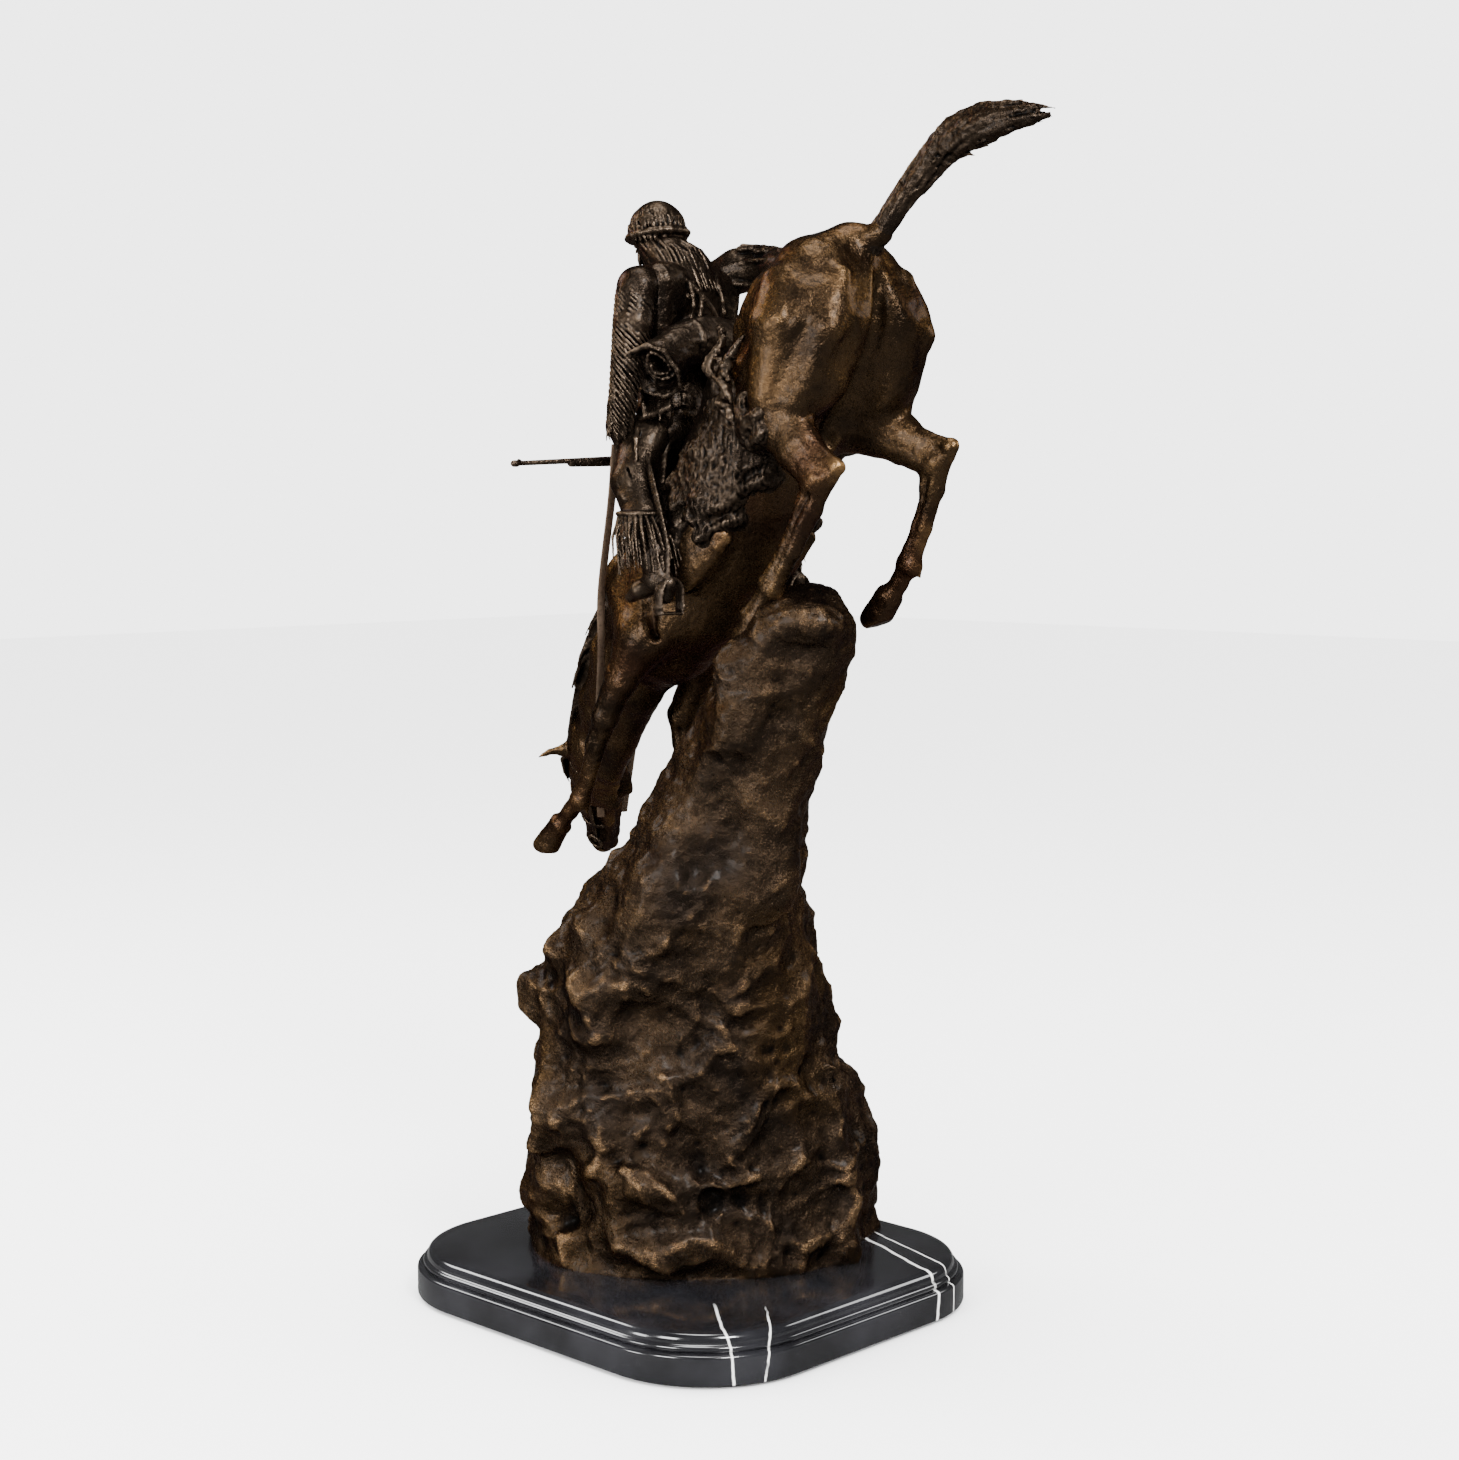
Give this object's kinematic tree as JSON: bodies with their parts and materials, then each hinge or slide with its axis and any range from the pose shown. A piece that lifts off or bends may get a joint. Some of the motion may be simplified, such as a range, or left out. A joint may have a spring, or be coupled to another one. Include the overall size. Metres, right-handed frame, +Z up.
{
  "type": "bronze horse and rider statuette",
  "caption": "Patinated bronze statuette of a mounted rider on a horse plunging head down off a tall rugged rock, on a polished black marble base with a moulded edge.",
  "frame": {"origin": "middle of the underside of the base, on the surface it stands on", "axes": "+X the way the horse goes, +Y the horse's left, +Z up"},
  "size_m": [0.4655, 0.272, 0.7124],
  "materials": {
    "marble": "polished black marble with white veins",
    "felt": "glued felt",
    "steel": "zinc plated",
    "rock_bronze": "dark brown patina, waxed, rubbed golden on high points",
    "horse_bronze": "red-brown patina, waxed, rubbed golden on muscles",
    "rider_bronze": "grey-brown patina, chased cloth and fringe",
    "dark_bronze": "dark patina, chased hair and leather",
    "strap_bronze": "smooth worn strap"
  },
  "bodies": {
    "root": {"marble_base": "marble", "felt_pad": "felt", "mounting_studs": "steel", "mounting_washers": "steel", "mounting_nuts": "steel", "rock_casting": "rock_bronze", "mount_lugs": "steel", "horse_body": "horse_bronze", "horse_head": "horse_bronze", "horse_neck": "horse_bronze", "horse_mane": "dark_bronze", "horse_tail": "dark_bronze", "hind_leg_left": "horse_bronze", "hind_leg_right": "horse_bronze", "foreleg_left": "horse_bronze", "foreleg_right": "horse_bronze", "saddle_blanket": "dark_bronze", "saddle": "dark_bronze", "flank_robe_left": "dark_bronze", "flank_robe_right": "dark_bronze", "rider_leg_left": "rider_bronze", "rider_leg_right": "rider_bronze", "stirrup_left": "dark_bronze", "stirrup_right": "dark_bronze", "rider_torso": "rider_bronze", "rider_head": "rider_bronze", "fur_cap": "rider_bronze", "rider_arm_left": "rider_bronze", "rider_arm_right": "rider_bronze", "bedroll": "dark_bronze", "rifle": "dark_bronze", "bridle": "dark_bronze", "rein_left": "strap_bronze", "rein_right": "strap_bronze", "hand_strap": "strap_bronze"}
  },
  "joints": []
}
